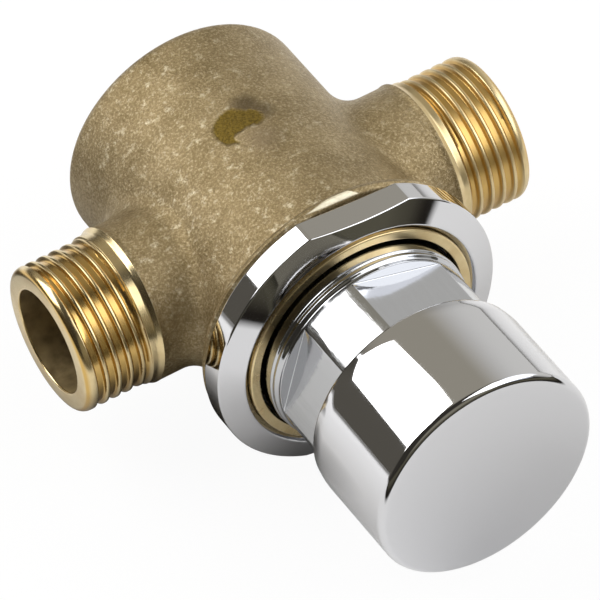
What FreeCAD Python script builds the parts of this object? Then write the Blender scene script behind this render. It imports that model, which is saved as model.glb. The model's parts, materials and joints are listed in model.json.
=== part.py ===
"""Timed shut-off valve: a cast brass through-body with a chromed push button that closes slowly by itself.

Frame, in millimetres: the origin is the middle of the collar's front face, where a wall plate is clamped.
+X runs along the ports towards the outlet, -Y runs forward to the button and +Z is up.
Radii are measured from the button axis (Y), or from the port axis for the ports.
"""
import FreeCAD, Part
import math
import os
import re

import Sketcher
from FreeCAD import Placement, Rotation, Vector

os.makedirs("parts", exist_ok=True)
doc = FreeCAD.newDocument("timed_valve")

# Two lengths closer than this are taken as equal
SAME = 1e-6

# Driving sizes, each set by itself
SIZES = {
    # Ports: 1/2 inch parallel pipe thread on a cast neck
    "thread_radius": 10.4775,
    "thread_length": 9.3,
    "thread_chamfer": 1.0,
    "port_bore_radius": 7.5,
    "port_bore_floor": 2.0,
    "shoulder_length": 2.0,
    "lip_step": 0.3,
    "lip_length": 0.7,
    "port_neck_step": 0.5225,
    "port_neck_length": 4.5,
    "port_fillet": 3.5,
    "fillet_margin": 0.6,
    # Body
    "body_step": 1.1,
    "body_back_wall": 5.2,
    "body_back_round": 1.8,
    "collar_step": 3.9,
    "collar_thickness": 1.8,
    "collar_fillet": 0.9,
    "front_land": 4.8,
    "rim_wall": 1.34,
    "rim_length": 5.0,
    "mouth_gap": 0.56,
    "mouth_depth": 4.0,
    "bonnet_thread_gap": 0.05,
    "bonnet_thread_relief": 0.6,
    "chamber_step": 1.25,
    "partition_thickness": 3.0,
    "rear_chamber_wall": 4.6,
    "chamber_end_gap": 1.0,
    "passage_radius": 2.6,
    "passage_half_height": 1.5,
    "passage_land": 0.5,
    # Ring nut
    "nut_wall": 4.25,
    "nut_thread_gap": 0.05,
    "nut_cone_length": 1.0,
    "nut_chamfer": 0.75,
    "nut_back_chamfer": 0.4,
    "nut_flat_depth": 1.35,
    "nut_flat_angle": 85.0,
    # Bonnet with the timing cylinder
    "timing_bore_radius": 10.0,
    "cylinder_wall": 4.0,
    "bonnet_thread_length": 9.0,
    "gasket_land": 1.1,
    "flange_length": 5.0,
    "flange_step": 0.5,
    "flange_cone_length": 0.9,
    "barrel_length": 12.6,
    "barrel_chamfer": 0.5,
    "flat_depth": 1.74,
    "flat_angle": 72.6,
    "gland_land": 0.8,
    "stem_groove_width": 2.0,
    "stem_groove_depth": 2.0,
    "wiper_depth": 1.4,
    "wiper_width": 2.5,
    "gasket_thickness": 1.5,
    "gasket_inner_gap": 0.1,
    "gasket_outer_gap": 0.16,
    # Fits
    "running_gap": 0.05,
    "screwed_gap": 0.02,
    "seal_gap": 0.05,
    # Button and stem
    "travel": 7.0,
    "stop_gap": 0.6,
    "skirt_gap": 0.4,
    "skirt_wall": 1.15,
    "skirt_overlap": 2.7,
    "skirt_edge_round": 1.0,
    "skirt_edge_land": 0.15,
    "button_roof": 2.5,
    "button_edge_round": 1.2,
    "boss_length": 3.9,
    "boss_wall": 2.48,
    "stem_hole_floor": 1.1,
    "stem_end_gap": 0.1,
    "stem_radius": 4.0,
    "stem_rear_radius": 3.0,
    "stem_tip_radius": 2.0,
    "stem_tip_proud": 0.6,
    "stem_chamfer": 0.4,
    # Timing piston
    "piston_front_gap": 0.6,
    "piston_length": 6.0,
    "piston_side_gap": 0.4,
    "piston_land": 1.0,
    "seal_groove_width": 3.4,
    "seal_groove_depth": 2.1,
    "seal_axial_gap": 0.1,
    "seal_lip_depth": 1.6,
    "seal_lip_thickness": 0.7,
    "circlip_thickness": 1.0,
    "circlip_groove_depth": 0.5,
    "circlip_height": 1.65,
    "circlip_mouth_half": 1.6,
    "jet_radius": 0.7,
    "jet_hole_radius": 0.2,
    # Return spring between two washers
    "wire_radius": 0.6,
    "spring_mean_radius": 6.6,
    "spring_turns": 5.5,
    "washer_thickness": 0.8,
    "washer_inner_gap": 0.2,
    "washer_outer_margin": 1.3,
    "seat_washer_gap": 0.5,
    # Cartridge sleeve with the valve seat
    "sleeve_disc_gap": 0.2,
    "sleeve_disc_thickness": 2.4,
    "cage_radius": 9.5,
    "cage_wall": 2.5,
    "window_half_width": 4.0,
    "sleeve_flange_step": 2.1,
    "sleeve_flange_thickness": 1.5,
    "nose_radius": 8.4,
    "nose_gap": 0.1,
    "nose_groove_width": 1.6,
    "nose_groove_depth": 1.4,
    "seat_bore_radius": 5.5,
    "seat_width": 0.7,
    "seat_slope": 0.2,
    "seat_height": 0.6,
    "seat_proud": 0.9,
    "vent_radius": 0.6,
    # Valve disc on the stem's tip
    "seat_gap": 0.2,
    "disc_radius": 7.4,
    "disc_thickness": 2.2,
    "disc_proud": 0.7,
    "holder_wall": 0.55,
    "holder_floor": 2.0,
    "disc_nut_height": 3.0,
    "disc_nut_across_flats": 7.0,
}

# Radii and places along Y worked out from the driving sizes, front pieces after what they sit on
PLACES = {
    # Radii, from the timing cylinder outwards
    "bonnet_thread_radius": "timing_bore_radius + cylinder_wall",
    "flange_radius": "bonnet_thread_radius + gasket_land",
    "barrel_radius": "flange_radius - flange_step",
    "barrel_end_radius": "barrel_radius - barrel_chamfer",
    "flat_half": "barrel_radius - flat_depth",
    "skirt_inner": "barrel_radius + skirt_gap",
    "button_radius": "skirt_inner + skirt_wall",
    "skirt_edge_used": "min(skirt_edge_round; skirt_wall - skirt_edge_land)",
    "mouth_radius": "flange_radius + mouth_gap",
    "rim_radius": "mouth_radius + rim_wall",
    "collar_radius": "rim_radius + collar_step",
    "body_radius": "rim_radius + body_step",
    "nut_bore": "rim_radius + nut_thread_gap",
    "nut_front_radius": "nut_bore + nut_chamfer",
    "nut_radius": "rim_radius + nut_wall",
    "nut_back_radius": "nut_radius - nut_back_chamfer",
    "nut_flat_half": "nut_radius - nut_flat_depth",
    "bonnet_bore_in_body": "bonnet_thread_radius + bonnet_thread_gap",
    "front_chamber_radius": "bonnet_bore_in_body - chamber_step",
    "rear_chamber_radius": "body_radius - rear_chamber_wall",
    "partition_hole": "nose_radius + nose_gap",
    "gasket_inner": "bonnet_thread_radius + gasket_inner_gap",
    "gasket_outer": "mouth_radius - gasket_outer_gap",
    "stem_bore": "stem_radius + running_gap",
    "stem_groove_radius": "stem_radius + stem_groove_depth",
    "wiper_seat_radius": "stem_radius + wiper_width",
    "wiper_outer": "wiper_seat_radius - seal_gap",
    "stem_hole": "stem_radius + screwed_gap",
    "boss_radius": "stem_hole + boss_wall",
    "stem_end_radius": "stem_radius - stem_chamfer",
    "stem_tip_end_radius": "stem_tip_radius - stem_chamfer",
    "circlip_groove_radius": "stem_rear_radius - circlip_groove_depth",
    "circlip_inner": "circlip_groove_radius + seal_gap",
    "circlip_outer": "circlip_inner + circlip_height",
    "piston_radius": "timing_bore_radius - piston_side_gap",
    "piston_bore": "stem_rear_radius + screwed_gap",
    "seal_groove_radius": "piston_radius - seal_groove_depth",
    "seal_inner": "seal_groove_radius + seal_gap",
    "seal_outer": "timing_bore_radius - running_gap",
    "seal_lip_inner": "seal_inner + seal_lip_thickness",
    "seal_lip_outer": "seal_outer - seal_lip_thickness",
    "seal_notch_radius": "(seal_inner + seal_outer) / 2",
    "washer_inner": "spring_mean_radius - wire_radius - washer_inner_gap",
    "washer_outer": "spring_mean_radius + wire_radius + washer_outer_margin",
    "seat_washer_inner": "stem_rear_radius + seat_washer_gap",
    "jet_offset": "(circlip_outer + washer_inner) / 2",
    "jet_seat_radius": "jet_radius + screwed_gap",
    "vent_offset": "(washer_outer + timing_bore_radius) / 2",
    "sleeve_disc_radius": "front_chamber_radius - sleeve_disc_gap",
    "sleeve_stem_hole": "stem_rear_radius + running_gap",
    "cage_inner": "cage_radius - cage_wall",
    "sleeve_flange_radius": "nose_radius + sleeve_flange_step",
    "nose_groove_radius": "nose_radius - nose_groove_depth",
    "seat_outer": "seat_bore_radius + seat_width",
    "seat_foot": "seat_outer + seat_slope",
    "disc_bore": "stem_rear_radius + seal_gap",
    "holder_inner": "disc_radius + seal_gap",
    "holder_radius": "holder_inner + holder_wall",
    "holder_bore": "stem_tip_radius + screwed_gap",
    "disc_nut_corner": "disc_nut_across_flats / sqrt(3)",
    # Sizes of the ports, along X from the button axis
    "port_neck_radius": "thread_radius + port_neck_step",
    "lip_radius": "port_neck_radius + lip_step",
    "thread_end_radius": "thread_radius - thread_chamfer",
    "lip_start": "body_radius + port_neck_length",
    "lip_end": "lip_start + lip_length",
    "thread_start": "lip_end + shoulder_length",
    "port_end": "thread_start + thread_length",
    "thread_chamfer_start": "port_end - thread_chamfer",
    "port_bore_end": "rear_chamber_radius + port_bore_floor",
    "fillet_limit": "min(port_neck_length; front_land) - fillet_margin",
    "port_fillet_used": "min(port_fillet; fillet_limit)",
    # Places along Y, from the collar's front face at zero
    "rim_front": "0 - rim_length",
    "nut_side_front": "rim_front + nut_cone_length",
    "nut_chamfer_back": "rim_front + nut_chamfer",
    "mouth_floor": "rim_front + mouth_depth",
    "flange_back": "mouth_floor - gasket_thickness",
    "flange_front": "flange_back - flange_length",
    "flats_start": "flange_front - flange_cone_length",
    "bonnet_front": "flats_start - barrel_length",
    "bonnet_front_edge": "bonnet_front + barrel_chamfer",
    "bonnet_rear": "mouth_floor + bonnet_thread_length",
    "relief_end": "bonnet_rear + bonnet_thread_relief",
    "wiper_back": "bonnet_front + wiper_depth",
    "stem_groove_front": "wiper_back + gland_land",
    "stem_groove_back": "stem_groove_front + stem_groove_width",
    "cylinder_front": "stem_groove_back + gland_land",
    "port_axis": "collar_thickness + front_land + port_neck_radius",
    "partition_front": "port_axis - partition_thickness / 2",
    "partition_back": "port_axis + partition_thickness / 2",
    "outlet_passage": "partition_front - passage_land - passage_radius",
    "inlet_passage": "partition_back + passage_land + passage_radius",
    "sleeve_disc_back": "bonnet_rear + sleeve_disc_thickness",
    "window_back": "partition_front - sleeve_flange_thickness",
    "nose_groove_front": "port_axis - nose_groove_width / 2",
    "nose_groove_back": "port_axis + nose_groove_width / 2",
    "seat_face": "partition_back + seat_proud",
    "nose_end": "seat_face - seat_height",
    "disc_front": "seat_face + seat_gap",
    "disc_back": "disc_front + disc_thickness",
    "holder_front": "disc_front + disc_proud",
    "holder_back": "disc_back + holder_floor",
    "disc_nut_back": "holder_back + disc_nut_height",
    "stem_tip": "disc_nut_back + stem_tip_proud",
    "stem_tip_edge": "stem_tip - stem_chamfer",
    "chamber_back": "stem_tip + travel + chamber_end_gap",
    "body_back": "chamber_back + body_back_wall",
    "boss_end": "bonnet_front - travel - stop_gap",
    "roof_inside": "boss_end - boss_length",
    "button_face": "roof_inside - button_roof",
    "skirt_rim": "bonnet_front + skirt_overlap",
    "stem_hole_end": "button_face + stem_hole_floor",
    "stem_front": "stem_hole_end + stem_end_gap",
    "stem_front_edge": "stem_front + stem_chamfer",
    "piston_front": "cylinder_front + piston_front_gap",
    "piston_back": "piston_front + piston_length",
    "seal_groove_front": "piston_front + piston_land",
    "seal_groove_back": "seal_groove_front + seal_groove_width",
    "seal_front": "seal_groove_front + seal_axial_gap",
    "seal_back": "seal_groove_back - seal_axial_gap",
    "seal_notch": "seal_back - seal_lip_depth",
    "circlip_back": "piston_back + circlip_thickness",
    "thrust_washer_back": "piston_back + washer_thickness",
    "spring_back": "bonnet_rear - washer_thickness",
    "spring_length": "spring_back - thrust_washer_back",
    "wire_corner": "wire_radius * tan(22.5 deg)",
    "wire_outer": "spring_mean_radius + wire_radius",
    "wire_outer_corner": "spring_mean_radius + wire_corner",
    "wire_inner_corner": "spring_mean_radius - wire_corner",
    "wire_inner": "spring_mean_radius - wire_radius",
    "wire_low": "thrust_washer_back - wire_radius",
    "wire_low_corner": "thrust_washer_back - wire_corner",
    "wire_high_corner": "thrust_washer_back + wire_corner",
    "wire_high": "thrust_washer_back + wire_radius",
    "cylinder_length": "bonnet_rear - cylinder_front",
    "stem_o_ring_radius": "stem_radius + stem_groove_depth / 2",
    "stem_o_ring_section": "stem_groove_depth / 2 - seal_gap",
    "stem_o_ring_place": "(stem_groove_front + stem_groove_back) / 2",
    "nose_o_ring_radius": "(nose_groove_radius + partition_hole) / 2",
    "nose_o_ring_section": "(partition_hole - nose_groove_radius) / 2 - seal_gap",
}


def make_sheet(name, cells):
    """Make a sheet with one row for each named cell: its name in column A and its content in column B."""
    sheet = doc.addObject("Spreadsheet::Sheet", name)
    for row, (alias, content) in enumerate(cells.items(), start=1):
        sheet.set(f"A{row}", alias)
        sheet.set(f"B{row}", content)
        sheet.setAlias(f"B{row}", alias)
    doc.recompute()
    return sheet


def in_sizes(formula):
    """Put the sheet's name before each driving size that a formula names."""
    return re.sub(r"[a-z_]+", lambda word: f"sizes.{word[0]}" if word[0] in SIZES else word[0], formula)


sizes = make_sheet("sizes", {name: str(number) for name, number in SIZES.items()})
places = make_sheet("places", {name: "=" + in_sizes(formula) for name, formula in PLACES.items()})


def cell(name):
    """The reference to a size or place, for a binding. A minus sign before the name mirrors it."""
    word = name.lstrip("-")
    sheet = "sizes" if word in SIZES else "places"
    return ("-" if name.startswith("-") else "") + f"{sheet}.{word}"


def number(name):
    """The present value of a size or place. A minus sign before the name mirrors it."""
    word = name.lstrip("-")
    found = getattr(sizes if word in SIZES else places, word)
    return -float(found) if name.startswith("-") else float(found)


def make_body(label):
    """An empty body for one piece of the valve."""
    body = doc.addObject("PartDesign::Body", label)
    body.Label = label
    return body


def make_sketch(body, name, plane):
    """An empty sketch on one of the body's own origin planes."""
    sketch = body.newObject("Sketcher::SketchObject", name)
    support = next(item for item in body.Origin.OriginFeatures if item.Role == plane)
    sketch.AttachmentSupport = [(support, "")]
    sketch.MapMode = "FlatFace"
    return sketch


def hold(sketch, geometry, point, across, along):
    """Hold one point of a sketch at two named places, where None means on the sketch's own axis."""
    for kind, name, axis in (("DistanceX", across, -2), ("DistanceY", along, -1)):
        if name is None:
            sketch.addConstraint(Sketcher.Constraint("PointOnObject", geometry, point, axis))
            continue
        index = sketch.addConstraint(Sketcher.Constraint(kind, -1, 1, geometry, point, number(name)))
        sketch.setExpression(f"Constraints[{index}]", cell(name))


def add_outline(sketch, corners):
    """Add a closed outline of straight edges whose corners are named places."""
    spots = [Vector(*(number(name) if name else 0.0 for name in corner), 0) for corner in corners]
    first = sketch.GeometryCount
    count = len(spots)
    for index in range(count):
        sketch.addGeometry(Part.LineSegment(spots[index], spots[(index + 1) % count]), False)
    for index in range(count):
        following = first + (index + 1) % count
        sketch.addConstraint(Sketcher.Constraint("Coincident", first + index, 2, following, 1))
    for index, (across, along) in enumerate(corners):
        hold(sketch, first + index, 1, across, along)


def add_circle(sketch, radius, across, along):
    """Add a circle of a named radius about a named centre."""
    centre = Vector(*(number(name) if name else 0.0 for name in (across, along)), 0)
    index = sketch.addGeometry(Part.Circle(centre, Vector(0, 0, 1), number(radius)), False)
    hold(sketch, index, 3, across, along)
    held = sketch.addConstraint(Sketcher.Constraint("Radius", index, number(radius)))
    sketch.setExpression(f"Constraints[{held}]", cell(radius))


def add_slot(sketch, radius, across, half_height):
    """Add an upright slot with round ends, its middle at a named place across the sketch."""
    middle, reach, size = number(across), number(half_height), number(radius)
    up = Vector(0, 0, 1)
    top = sketch.addGeometry(Part.ArcOfCircle(Part.Circle(Vector(middle, reach, 0), up, size), 0, math.pi))
    bottom = sketch.addGeometry(
        Part.ArcOfCircle(Part.Circle(Vector(middle, -reach, 0), up, size), math.pi, 2 * math.pi))
    left = sketch.addGeometry(
        Part.LineSegment(Vector(middle - size, reach, 0), Vector(middle - size, -reach, 0)))
    right = sketch.addGeometry(
        Part.LineSegment(Vector(middle + size, -reach, 0), Vector(middle + size, reach, 0)))
    for before, after in ((top, left), (left, bottom), (bottom, right), (right, top)):
        sketch.addConstraint(Sketcher.Constraint("Tangent", before, 2, after, 1))
    sketch.addConstraint(Sketcher.Constraint("Vertical", left))
    hold(sketch, top, 3, across, half_height)
    hold(sketch, bottom, 3, across, "-" + half_height)
    held = sketch.addConstraint(Sketcher.Constraint("Radius", top, size))
    sketch.setExpression(f"Constraints[{held}]", cell(radius))


def turn(body, name, sketch, axis="V_Axis", cut=False):
    """Turn a sketch once round an axis of its own, as a solid or as a cut."""
    kind = "PartDesign::Groove" if cut else "PartDesign::Revolution"
    feature = body.newObject(kind, name)
    feature.Profile = sketch
    feature.ReferenceAxis = (sketch, [axis])
    feature.Angle = 360
    return feature


def turned_body(label, corners):
    """A piece turned about the button axis from one outline of (radius, place along Y)."""
    body = make_body(label)
    sketch = make_sketch(body, label + "_outline", "XY_Plane")
    add_outline(sketch, corners)
    turn(body, label + "_turned", sketch)
    doc.recompute()
    return body


def cut_through(body, name, sketch, both_ways=True, reverse=False):
    """Cut a sketch right through the body, both ways or one way from its plane."""
    pocket = body.newObject("PartDesign::Pocket", name)
    pocket.Profile = sketch
    pocket.Type = "ThroughAll"
    pocket.Midplane = both_ways
    pocket.Reversed = reverse
    return pocket


def pattern_round(body, name, feature, sketch, axis, count):
    """Repeat a feature evenly round an axis of its sketch."""
    pattern = body.newObject("PartDesign::PolarPattern", name)
    pattern.Originals = [feature]
    pattern.Axis = (sketch, [axis])
    pattern.Angle = 360
    pattern.Occurrences = count
    body.Tip = pattern
    doc.recompute()


def round_edges(body, name, radius, choose):
    """Round the edges of the body that a test picks, by a named radius."""
    base = body.Tip
    picked = [f"Edge{i}" for i, edge in enumerate(base.Shape.Edges, start=1) if choose(edge)]
    if not picked:
        raise RuntimeError(f"{name}: no edge to round")
    fillet = body.newObject("PartDesign::Fillet", name)
    fillet.Base = (base, picked)
    fillet.Radius = number(radius)
    fillet.setExpression("Radius", cell(radius))
    doc.recompute()


def is_ring(edge, radius, place):
    """True for a circle about the button axis with a given radius and place along Y."""
    if not isinstance(edge.Curve, Part.Circle):
        return False
    centre = edge.Curve.Center
    on_axis = math.hypot(centre.x, centre.z) < SAME
    return on_axis and abs(centre.y - place) < SAME and abs(edge.Curve.Radius - radius) < SAME


def turn_to_port_axis(sketch):
    """Move a sketch on the XY plane back to the port axis, so its own H axis is that axis."""
    sketch.AttachmentOffset = Placement(Vector(0, number("port_axis"), 0), Rotation())
    sketch.setExpression("AttachmentOffset.Base.y", cell("port_axis"))


def make_valve_body():
    """The brass casting: a barrel with two ports, a machined collar, a threaded rim and a divided cavity."""
    body = turned_body("valve_body", [
        (None, "rim_front"), ("rim_radius", "rim_front"), ("rim_radius", None), ("collar_radius", None),
        ("collar_radius", "collar_thickness"), ("body_radius", "collar_thickness"),
        ("body_radius", "body_back"), (None, "body_back")])
    half = [
        ("port_end", "thread_end_radius"), ("thread_chamfer_start", "thread_radius"),
        ("thread_start", "thread_radius"), ("lip_end", "lip_radius"),
        ("lip_start", "lip_radius"), ("lip_start", "port_neck_radius")]
    other_half = [("-" + place, radius) for place, radius in reversed(half)]
    ports = make_sketch(body, "ports_outline", "XY_Plane")
    turn_to_port_axis(ports)
    add_outline(ports, [("port_end", None)] + half + other_half + [("-port_end", None)])
    turn(body, "ports_turned", ports, "H_Axis")
    doc.recompute()
    round_edges(body, "port_fillets", "port_fillet_used",
                lambda edge: not isinstance(edge.Curve, (Part.Circle, Part.Line)))
    barrel, back = number("body_radius"), number("body_back")
    round_edges(body, "back_round", "body_back_round", lambda edge: is_ring(edge, barrel, back))
    round_edges(body, "collar_corner", "collar_fillet",
                lambda edge: is_ring(edge, barrel, number("collar_thickness")))
    cavity = make_sketch(body, "cavity_outline", "XY_Plane")
    add_outline(cavity, [
        (None, "rim_front"), ("mouth_radius", "rim_front"), ("mouth_radius", "mouth_floor"),
        ("bonnet_bore_in_body", "mouth_floor"), ("bonnet_bore_in_body", "relief_end"),
        ("front_chamber_radius", "relief_end"), ("front_chamber_radius", "partition_front"),
        ("partition_hole", "partition_front"), ("partition_hole", "partition_back"),
        ("rear_chamber_radius", "partition_back"), ("rear_chamber_radius", "chamber_back"),
        (None, "chamber_back")])
    turn(body, "cavity_turned", cavity, cut=True)
    bores = make_sketch(body, "bores_outline", "XY_Plane")
    turn_to_port_axis(bores)
    for side in ("", "-"):
        add_outline(bores, [
            (side + "port_bore_end", None), (side + "port_end", None),
            (side + "port_end", "port_bore_radius"), (side + "port_bore_end", "port_bore_radius")])
    turn(body, "bores_turned", bores, "H_Axis", cut=True)
    for name, place, reverse in (("outlet", "outlet_passage", True), ("inlet", "inlet_passage", False)):
        sketch = make_sketch(body, name + "_outline", "YZ_Plane")
        add_slot(sketch, "passage_radius", place, "passage_half_height")
        passage = body.newObject("PartDesign::Pocket", name + "_passage")
        passage.Profile = sketch
        passage.Length = number("port_bore_end")
        passage.setExpression("Length", cell("port_bore_end"))
        passage.Reversed = reverse
    doc.recompute()
    return body


def make_ring_nut():
    """The chromed round nut that clamps a wall plate to the collar, with two flats for a spanner."""
    body = turned_body("ring_nut", [
        ("nut_bore", None), ("nut_back_radius", None), ("nut_radius", "-nut_back_chamfer"),
        ("nut_radius", "nut_side_front"), ("nut_front_radius", "rim_front"),
        ("nut_bore", "nut_chamfer_back")])
    sketch = make_sketch(body, "nut_flats_outline", "XZ_Plane")
    sketch.AttachmentOffset = Placement(Vector(), Rotation(Vector(0, 0, 1), number("nut_flat_angle")))
    sketch.setExpression("AttachmentOffset.Rotation.Angle", cell("nut_flat_angle") + " * 1 deg")
    for side in ("", "-"):
        add_outline(sketch, [
            (side + "nut_flat_half", "-nut_radius"), (side + "nut_radius", "-nut_radius"),
            (side + "nut_radius", "nut_radius"), (side + "nut_flat_half", "nut_radius")])
    cut_through(body, "nut_flats", sketch)
    doc.recompute()
    return body


def make_bonnet():
    """The chromed bonnet: a screwed neck, a flange and a round barrel with four flats round the cylinder."""
    body = turned_body("bonnet", [
        (None, "bonnet_front"), ("barrel_end_radius", "bonnet_front"), ("barrel_radius", "bonnet_front_edge"),
        ("barrel_radius", "flats_start"), ("flange_radius", "flange_front"), ("flange_radius", "flange_back"),
        ("bonnet_thread_radius", "flange_back"), ("bonnet_thread_radius", "bonnet_rear"),
        (None, "bonnet_rear")])
    bore = make_sketch(body, "bonnet_bore_outline", "XY_Plane")
    add_outline(bore, [
        (None, "bonnet_front"), ("wiper_seat_radius", "bonnet_front"), ("wiper_seat_radius", "wiper_back"),
        ("stem_bore", "wiper_back"), ("stem_bore", "stem_groove_front"),
        ("stem_groove_radius", "stem_groove_front"), ("stem_groove_radius", "stem_groove_back"),
        ("stem_bore", "stem_groove_back"), ("stem_bore", "cylinder_front"),
        ("timing_bore_radius", "cylinder_front"), ("timing_bore_radius", "bonnet_rear"),
        (None, "bonnet_rear")])
    turn(body, "bonnet_bore", bore, cut=True)
    flat = make_sketch(body, "bonnet_flat_outline", "XZ_Plane")
    flat.AttachmentOffset = Placement(
        Vector(0, 0, number("-flats_start")), Rotation(Vector(0, 0, 1), number("flat_angle")))
    flat.setExpression("AttachmentOffset.Base.z", cell("-flats_start"))
    flat.setExpression("AttachmentOffset.Rotation.Angle", cell("flat_angle") + " * 1 deg")
    add_outline(flat, [
        ("flat_half", "-barrel_radius"), ("barrel_radius", "-barrel_radius"),
        ("barrel_radius", "barrel_radius"), ("flat_half", "barrel_radius")])
    pocket = cut_through(body, "bonnet_flat", flat, both_ways=False, reverse=True)
    doc.recompute()
    pattern_round(body, "bonnet_flats", pocket, flat, "N_Axis", 4)
    return body


def make_button_cap():
    """The chromed push button: a plain cup with a boss inside that is screwed to the stem."""
    body = turned_body("button_cap", [
        (None, "button_face"), ("button_radius", "button_face"), ("button_radius", "skirt_rim"),
        ("skirt_inner", "skirt_rim"), ("skirt_inner", "roof_inside"), ("boss_radius", "roof_inside"),
        ("boss_radius", "boss_end"), ("stem_hole", "boss_end"), ("stem_hole", "stem_hole_end"),
        (None, "stem_hole_end")])
    outside, face, rim = number("button_radius"), number("button_face"), number("skirt_rim")
    round_edges(body, "button_edge", "button_edge_round", lambda edge: is_ring(edge, outside, face))
    round_edges(body, "skirt_edge", "skirt_edge_used", lambda edge: is_ring(edge, outside, rim))
    return body


def make_stem():
    """The stem: a thick front in the gland, a slim rear through the piston and a screwed tip."""
    return turned_body("stem", [
        (None, "stem_front"), ("stem_end_radius", "stem_front"), ("stem_radius", "stem_front_edge"),
        ("stem_radius", "piston_front"), ("stem_rear_radius", "piston_front"),
        ("stem_rear_radius", "piston_back"), ("circlip_groove_radius", "piston_back"),
        ("circlip_groove_radius", "circlip_back"), ("stem_rear_radius", "circlip_back"),
        ("stem_rear_radius", "disc_back"), ("stem_tip_radius", "disc_back"),
        ("stem_tip_radius", "stem_tip_edge"), ("stem_tip_end_radius", "stem_tip"), (None, "stem_tip")])


def make_piston():
    """The timing piston, with a groove for its lip seal and a seat for the jet."""
    body = turned_body("piston", [
        ("piston_bore", "piston_front"), ("piston_radius", "piston_front"),
        ("piston_radius", "seal_groove_front"), ("seal_groove_radius", "seal_groove_front"),
        ("seal_groove_radius", "seal_groove_back"), ("piston_radius", "seal_groove_back"),
        ("piston_radius", "piston_back"), ("piston_bore", "piston_back")])
    sketch = make_sketch(body, "jet_seat_outline", "XZ_Plane")
    add_circle(sketch, "jet_seat_radius", None, "jet_offset")
    cut_through(body, "jet_seat", sketch)
    doc.recompute()
    return body


def make_timing_jet():
    """The plug with the fine hole that lets the timing cylinder empty slowly."""
    body = make_body("timing_jet")
    sketch = make_sketch(body, "jet_outline", "XZ_Plane")
    sketch.AttachmentOffset = Placement(Vector(0, 0, number("-piston_back")), Rotation())
    sketch.setExpression("AttachmentOffset.Base.z", cell("-piston_back"))
    add_circle(sketch, "jet_radius", None, "jet_offset")
    add_circle(sketch, "jet_hole_radius", None, "jet_offset")
    pad = body.newObject("PartDesign::Pad", "jet_pad")
    pad.Profile = sketch
    pad.Length = number("piston_length")
    pad.setExpression("Length", cell("piston_length"))
    doc.recompute()
    return body


def make_piston_circlip():
    """The open ring that holds the piston against the stem's shoulder."""
    body = turned_body("piston_circlip", [
        ("circlip_inner", "piston_back"), ("circlip_outer", "piston_back"),
        ("circlip_outer", "circlip_back"), ("circlip_inner", "circlip_back")])
    sketch = make_sketch(body, "circlip_mouth_outline", "XZ_Plane")
    add_outline(sketch, [
        ("-circlip_mouth_half", None), ("circlip_mouth_half", None),
        ("circlip_mouth_half", "-circlip_outer"), ("-circlip_mouth_half", "-circlip_outer")])
    cut_through(body, "circlip_mouth", sketch)
    doc.recompute()
    return body


def make_cartridge_sleeve():
    """The plastic sleeve: a guide disc, a cage with four windows and a nose that carries the valve seat."""
    body = turned_body("cartridge_sleeve", [
        ("sleeve_stem_hole", "bonnet_rear"), ("sleeve_disc_radius", "bonnet_rear"),
        ("sleeve_disc_radius", "sleeve_disc_back"), ("cage_radius", "sleeve_disc_back"),
        ("cage_radius", "window_back"), ("sleeve_flange_radius", "window_back"),
        ("sleeve_flange_radius", "partition_front"), ("nose_radius", "partition_front"),
        ("nose_radius", "nose_groove_front"), ("nose_groove_radius", "nose_groove_front"),
        ("nose_groove_radius", "nose_groove_back"), ("nose_radius", "nose_groove_back"),
        ("nose_radius", "nose_end"), ("seat_foot", "nose_end"), ("seat_outer", "seat_face"),
        ("seat_bore_radius", "seat_face"), ("seat_bore_radius", "window_back"),
        ("cage_inner", "window_back"), ("cage_inner", "sleeve_disc_back"),
        ("sleeve_stem_hole", "sleeve_disc_back")])
    window = make_sketch(body, "window_outline", "XY_Plane")
    add_outline(window, [
        ("-window_half_width", "sleeve_disc_back"), ("window_half_width", "sleeve_disc_back"),
        ("window_half_width", "window_back"), ("-window_half_width", "window_back")])
    pocket = cut_through(body, "window", window)
    doc.recompute()
    pattern_round(body, "windows", pocket, window, "V_Axis", 4)
    vent = make_sketch(body, "vent_outline", "XZ_Plane")
    vent.AttachmentOffset = Placement(Vector(0, 0, number("-sleeve_disc_back")), Rotation())
    vent.setExpression("AttachmentOffset.Base.z", cell("-sleeve_disc_back"))
    add_circle(vent, "vent_radius", "vent_offset", None)
    hole = cut_through(body, "vent", vent, both_ways=False, reverse=True)
    doc.recompute()
    pattern_round(body, "vents", hole, vent, "N_Axis", 4)
    return body


def make_o_ring(label, radius, section, place):
    """A rubber ring of round section about the button axis."""
    ring = doc.addObject("Part::Torus", label)
    ring.Label = label
    ring.Placement = Placement(Vector(0, number(place), 0), Rotation(Vector(1, 0, 0), -90))
    ring.setExpression("Radius1", cell(radius))
    ring.setExpression("Radius2", cell(section))
    ring.setExpression("Placement.Base.y", cell(place))
    doc.recompute()
    return ring


def make_column(name, kind, radius_name, radius, front, length):
    """A round or six-sided column along the button axis, from a named place backwards."""
    column = doc.addObject(kind, name)
    column.Placement = Placement(Vector(0, number(front), 0), Rotation(Vector(1, 0, 0), -90))
    column.setExpression("Placement.Base.y", cell(front))
    column.setExpression(radius_name, cell(radius))
    column.setExpression("Height", cell(length))
    return column


def make_disc_nut():
    """The six-sided nut on the stem's tip, behind the valve disc's holder."""
    hexagon = make_column("disc_nut_hexagon", "Part::Prism", "Circumradius",
                          "disc_nut_corner", "holder_back", "disc_nut_height")
    hexagon.Polygon = 6
    hole = make_column("disc_nut_hole", "Part::Cylinder", "Radius",
                       "holder_bore", "holder_back", "disc_nut_height")
    nut = doc.addObject("Part::Cut", "disc_nut")
    nut.Label = "disc_nut"
    nut.Base = hexagon
    nut.Tool = hole
    doc.recompute()
    return nut


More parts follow.
